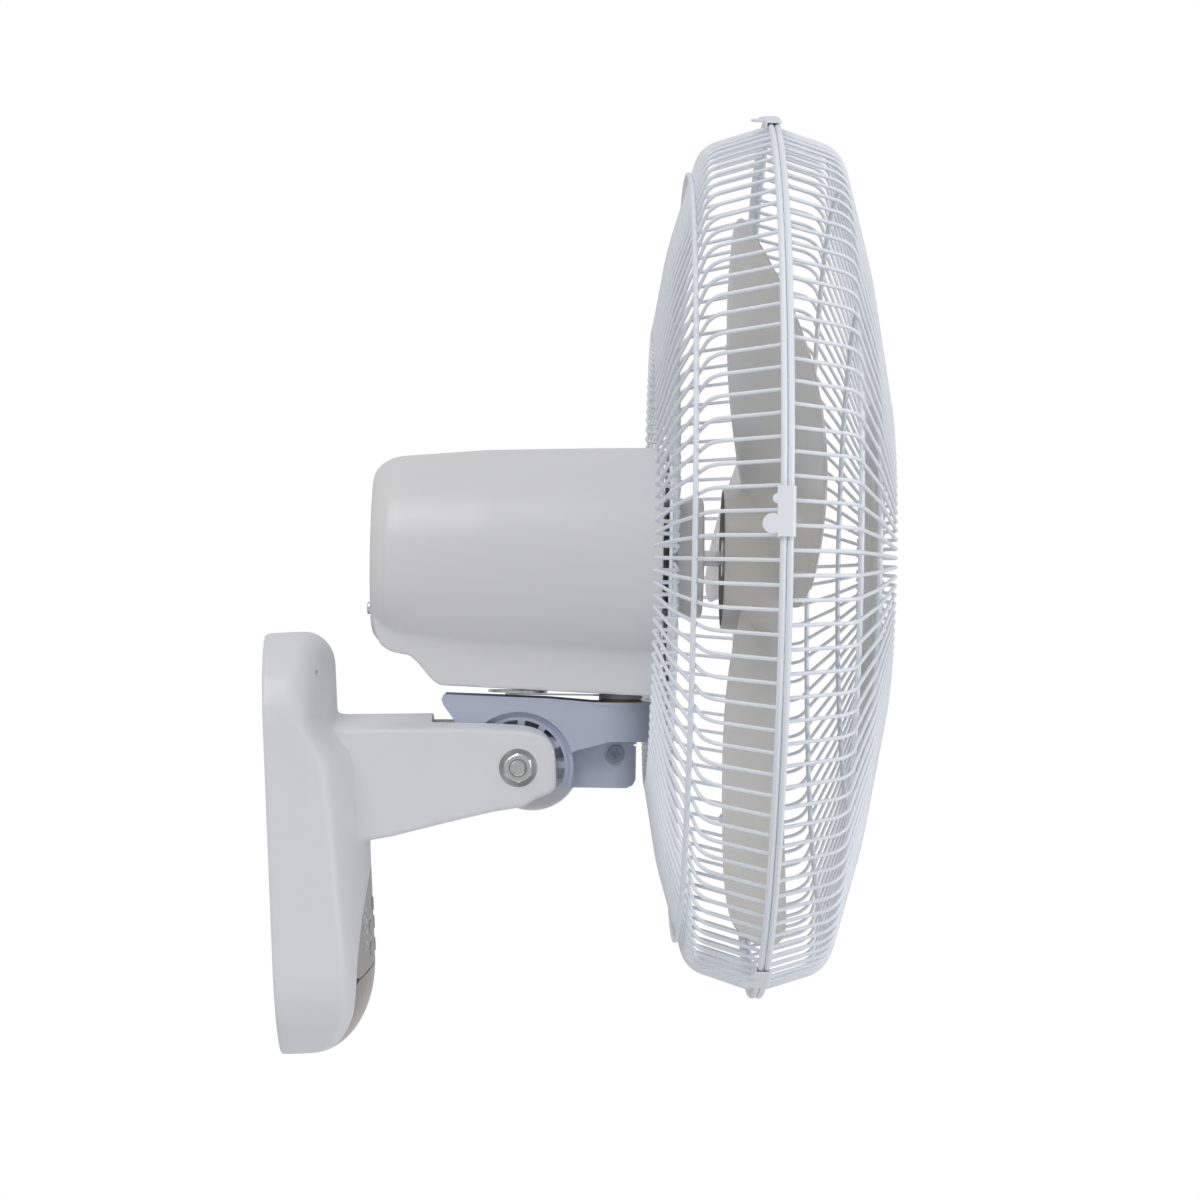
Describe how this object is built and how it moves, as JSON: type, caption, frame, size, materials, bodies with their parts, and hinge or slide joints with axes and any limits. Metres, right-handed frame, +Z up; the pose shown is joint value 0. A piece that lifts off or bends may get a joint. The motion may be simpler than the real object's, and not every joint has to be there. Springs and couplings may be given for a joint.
{
  "type": "wall mounted fan",
  "caption": "Wall mounted fan with a round wire guard, a swinging and tilting motor head on a short moulded wall arm, and a control panel on its casing.",
  "frame": {"origin": "middle of the casing's face on the wall, in the plane of the wall", "axes": "+Z up along the wall, -Y out of the wall towards the room, +X to the right as seen from in front"},
  "size_m": [0.444, 0.3175, 0.4596],
  "materials": {
    "casing_plastic": "satin moulded",
    "housing_plastic": "satin moulded",
    "bracket_plastic": "satin moulded",
    "clip_plastic": "satin moulded",
    "panel_plastic": "semi gloss",
    "lens_plastic": "gloss, smoked",
    "key_plastic": "semi gloss",
    "guard_wire": "gloss coated",
    "blade_plastic": "satin moulded",
    "zinc_steel": "zinc plated",
    "ground_steel": "ground",
    "core_steel": "laminated sheet",
    "copper_wire": "enamelled copper",
    "cast_alloy": "as cast",
    "bush_bronze": "sintered",
    "gear_plastic": "moulded",
    "board_laminate": "laminate",
    "black_rubber": "moulded"
  },
  "bodies": {
    "base": {"wall_plate": "zinc_steel", "back_cover": "casing_plastic", "base_casing": "casing_plastic", "control_panel": "panel_plastic", "ir_lens": "lens_plastic", "circuit_board": "board_laminate", "tact_switches": "gear_plastic", "run_capacitor": "gear_plastic", "ir_receiver": "gear_plastic", "terminal_block": "gear_plastic", "cover_screws": "zinc_steel", "fixing_screw": "zinc_steel", "cord_grommet": "black_rubber", "pivot_bolt": "zinc_steel", "pivot_nut": "zinc_steel", "pivot_washers": "zinc_steel"},
    "bracket": {"tilt_bracket": "bracket_plastic", "barrel_cover": "bracket_plastic", "clamp_screw": "zinc_steel", "link_anchor_pin": "zinc_steel", "barrel_bush": "bush_bronze"},
    "head": {"motor_housing": "housing_plastic", "motor_cradle": "cast_alloy", "swing_post": "ground_steel", "retaining_ring": "zinc_steel", "stator_core": "core_steel", "stator_winding": "copper_wire", "front_shield": "cast_alloy", "rear_shield": "cast_alloy", "front_bearing": "ground_steel", "rear_bearing": "ground_steel", "swing_gearbox": "gear_plastic", "housing_screws": "zinc_steel", "rear_guard": "guard_wire", "rear_ring": "guard_wire", "rear_hoop": "guard_wire", "guard_plate": "guard_wire", "guard_nut": "housing_plastic", "plate_screws": "zinc_steel", "front_guard": "guard_wire", "front_ring": "guard_wire", "front_hoops": "guard_wire", "badge": "housing_plastic"},
    "rotor": {"rotor_core": "core_steel", "shaft": "ground_steel", "blade_wheel": "blade_plastic", "spinner": "blade_plastic", "drive_pin": "zinc_steel"},
    "crank": {"crank_disc": "zinc_steel"},
    "link": {"swing_link": "zinc_steel"},
    "clip_1": {"guard_clip_1": "clip_plastic"},
    "clip_2": {"guard_clip_2": "clip_plastic"},
    "clip_3": {"guard_clip_3": "clip_plastic"},
    "clip_4": {"guard_clip_4": "clip_plastic"},
    "clip_5": {"guard_clip_5": "clip_plastic"},
    "key_1": {"key_1": "key_plastic"},
    "key_2": {"key_2": "key_plastic"},
    "key_3": {"key_3": "key_plastic"},
    "key_4": {"key_4": "key_plastic"},
    "key_5": {"key_5": "key_plastic"}
  },
  "joints": [
    {"name": "tilt", "type": "hinge", "parent": "base", "child": "bracket", "pos_m": [0, -0.1243, 0.034], "axis": [1, 0, 0], "range_deg": [-8, 30]},
    {"name": "oscillation", "type": "hinge", "parent": "bracket", "child": "head", "pos_m": [0, -0.17708, 0.06341], "axis": [0, -0.0576, 0.9983], "range_deg": [-40, 40]},
    {"name": "crank_turn", "type": "hinge", "parent": "head", "child": "crank", "pos_m": [0, -0.12546, 0.0714], "axis": [0, -0.0576, 0.9983], "range_deg": [-88, 88]},
    {"name": "link_turn", "type": "hinge", "parent": "bracket", "child": "link", "pos_m": [0.01386, -0.16929, 0.06727], "axis": [0, -0.0576, 0.9983], "range_deg": [-46, 46]},
    {"name": "fan_spin", "type": "hinge", "parent": "head", "child": "rotor", "pos_m": [0, -0.24622, 0.13335], "axis": [0, -0.9983, -0.0576], "continuous": true},
    {"name": "clip_1_lift", "type": "hinge", "parent": "head", "child": "clip_1", "pos_m": [-0.21886, -0.25341, 0.15211], "axis": [0.0872, -0.0573, 0.9945], "range_deg": [0, 50]},
    {"name": "clip_2_lift", "type": "hinge", "parent": "head", "child": "clip_2", "pos_m": [-0.04942, -0.26463, 0.34671], "axis": [0.9744, -0.0129, 0.2246], "range_deg": [0, 50]},
    {"name": "clip_3_lift", "type": "hinge", "parent": "head", "child": "clip_3", "pos_m": [0.18832, -0.25882, 0.24596], "axis": [0.515, 0.0493, -0.8557], "range_deg": [0, 50]},
    {"name": "clip_4_lift", "type": "hinge", "parent": "head", "child": "clip_4", "pos_m": [0.16581, -0.24401, -0.0109], "axis": [-0.6561, 0.0434, -0.7535], "range_deg": [0, 50]},
    {"name": "clip_5_lift", "type": "hinge", "parent": "head", "child": "clip_5", "pos_m": [-0.08584, -0.24067, -0.0689], "axis": [-0.9205, -0.0225, 0.3901], "range_deg": [0, 50]},
    {"name": "key_1_press", "type": "slide", "parent": "base", "child": "key_1", "axis": [0, 1, 0], "range_m": [0, 0.001], "stiffness_N_per_m": 400},
    {"name": "key_2_press", "type": "slide", "parent": "base", "child": "key_2", "axis": [0, 1, 0], "range_m": [0, 0.001], "stiffness_N_per_m": 400},
    {"name": "key_3_press", "type": "slide", "parent": "base", "child": "key_3", "axis": [0, 1, 0], "range_m": [0, 0.001], "stiffness_N_per_m": 400},
    {"name": "key_4_press", "type": "slide", "parent": "base", "child": "key_4", "axis": [0, 1, 0], "range_m": [0, 0.001], "stiffness_N_per_m": 400},
    {"name": "key_5_press", "type": "slide", "parent": "base", "child": "key_5", "axis": [0, 1, 0], "range_m": [0, 0.001], "stiffness_N_per_m": 400}
  ],
  "couplings": [
    {"joint": "crank_turn", "follows": "oscillation", "ratio": -2.155},
    {"joint": "link_turn", "follows": "oscillation", "ratio": 1.095}
  ]
}
